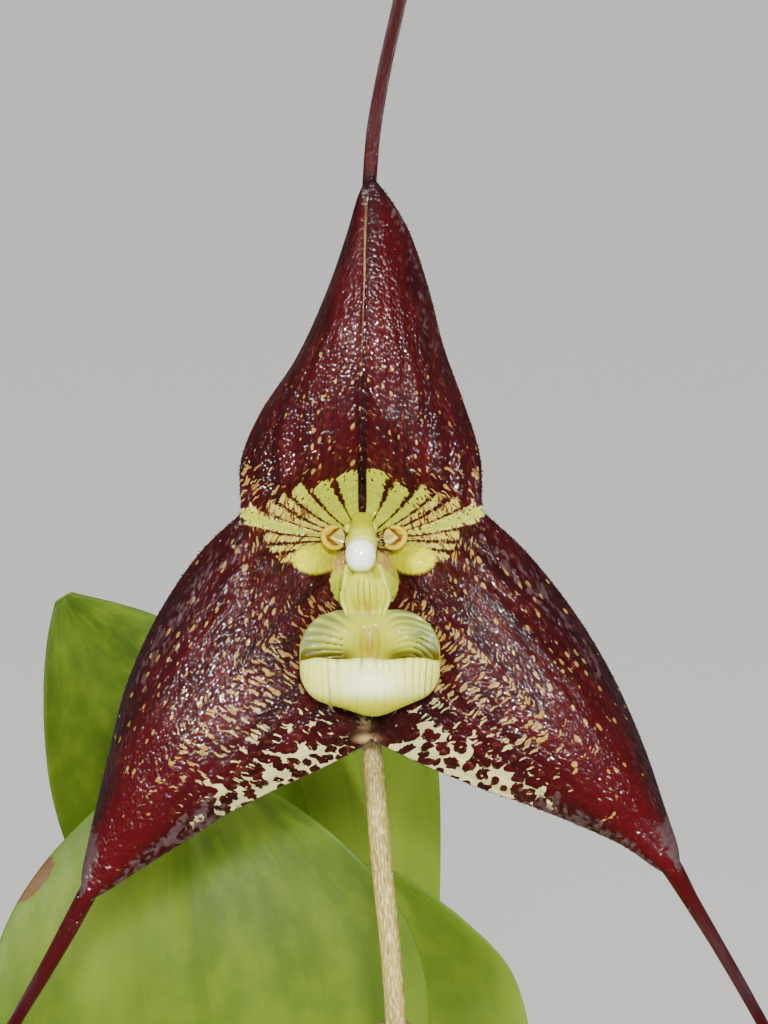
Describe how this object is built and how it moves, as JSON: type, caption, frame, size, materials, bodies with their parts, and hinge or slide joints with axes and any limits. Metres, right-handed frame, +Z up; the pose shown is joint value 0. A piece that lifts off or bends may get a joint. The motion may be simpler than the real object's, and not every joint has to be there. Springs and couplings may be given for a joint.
{
  "type": "potted dracula ubangina orchid",
  "caption": "Potted orchid in flower: a three-tailed maroon bloom with a shell-shaped cream lip, strap leaves on sheathed stems, in a clay pot of moss.",
  "frame": {"origin": "centre of the pot's flat foot, on the surface that it stands on", "axes": "+Z up; the flower faces -Y, tilted 10 degrees upwards; +X to the right as the flower is looked at"},
  "size_m": [0.2048, 0.1814, 0.3457],
  "materials": {
    "clay": "matte fired terracotta",
    "moss": "dry fibrous sphagnum",
    "rhizome_skin": "matte",
    "sheath": "dry papery",
    "leaf_green": "satin, waxy",
    "stalk": "finely scurfy",
    "bract": "dry papery",
    "sepal_maroon": "glossy, finely papillose",
    "petal_cream": "satin",
    "column_yellow": "satin",
    "anther_white": "glossy",
    "lip_cream": "satin, ribbed"
  },
  "bodies": {
    "root": {"pot": "clay", "potting_medium": "moss", "rhizome": "rhizome_skin", "peduncle": "stalk", "dorsal_sepal": "sepal_maroon", "lateral_sepal_left": "sepal_maroon", "lateral_sepal_right": "sepal_maroon", "petal_left": "petal_cream", "petal_right": "petal_cream", "lip": "lip_cream", "column": "column_yellow", "anther_cap": "anther_white", "pedicel_ovary": "stalk", "floral_bract": "bract", "ramicaul_1": "sheath", "leaf_1": "leaf_green", "ramicaul_2": "sheath", "leaf_2": "leaf_green", "ramicaul_3": "sheath", "leaf_3": "leaf_green", "ramicaul_4": "sheath", "leaf_4": "leaf_green", "ramicaul_5": "sheath", "leaf_5": "leaf_green", "ramicaul_6": "sheath", "leaf_6": "leaf_green", "ramicaul_7": "sheath", "leaf_7": "leaf_green", "ramicaul_8": "sheath", "leaf_8": "leaf_green", "ramicaul_9": "sheath", "leaf_9": "leaf_green", "ramicaul_10": "sheath", "leaf_10": "leaf_green", "ramicaul_11": "sheath", "leaf_11": "leaf_green"}
  },
  "joints": []
}
